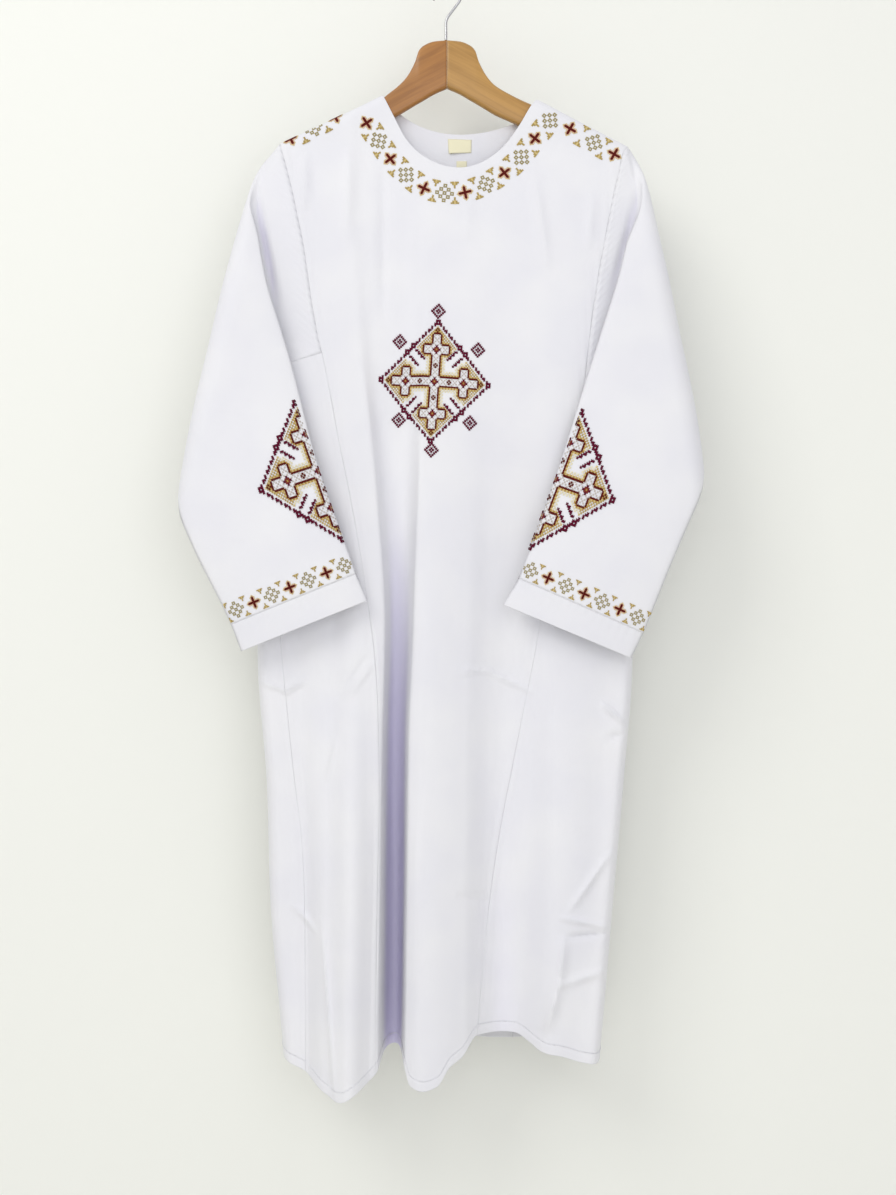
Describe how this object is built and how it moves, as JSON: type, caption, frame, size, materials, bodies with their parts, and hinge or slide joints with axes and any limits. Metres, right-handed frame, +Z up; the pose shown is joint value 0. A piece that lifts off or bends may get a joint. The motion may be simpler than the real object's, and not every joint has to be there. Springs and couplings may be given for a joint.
{
  "type": "deacon tunic on a wooden hanger",
  "caption": "White ankle-length church tunic with embroidered neck ring, chest cross, elbow crosses and cuffs, hanging with folded-in sleeves on a wooden hanger.",
  "frame": {"origin": "inner top of the hanger's hook, where the rail goes", "axes": "+Z up, -Y towards the front of the tunic, +X towards the viewer's right when facing the front"},
  "size_m": [0.6442, 0.1401, 1.3788],
  "materials": {
    "white_cotton": "matte",
    "maroon_thread": "satin",
    "gold_thread": "satin",
    "label_cloth": "satin",
    "warm_wood": "satin",
    "pale_wood": "satin",
    "hook_steel": "polished"
  },
  "bodies": {
    "root": {"front_panel_shoulders": "white_cotton", "front_panel_chest": "white_cotton", "front_panel_skirt": "white_cotton", "back_panel_shoulders": "white_cotton", "back_panel_chest": "white_cotton", "back_panel_skirt": "white_cotton", "gore_front_left": "white_cotton", "gore_front_right": "white_cotton", "gore_back_left": "white_cotton", "gore_back_right": "white_cotton", "sleeve_left_upper": "white_cotton", "sleeve_left_lower": "white_cotton", "sleeve_right_upper": "white_cotton", "sleeve_right_lower": "white_cotton", "cuff_band_left": "white_cotton", "cuff_band_right": "white_cotton", "size_label": "label_cloth", "care_tab": "label_cloth", "hanger_arm_left": "warm_wood", "hanger_arm_right": "pale_wood", "hanger_hook": "hook_steel"}
  },
  "joints": []
}
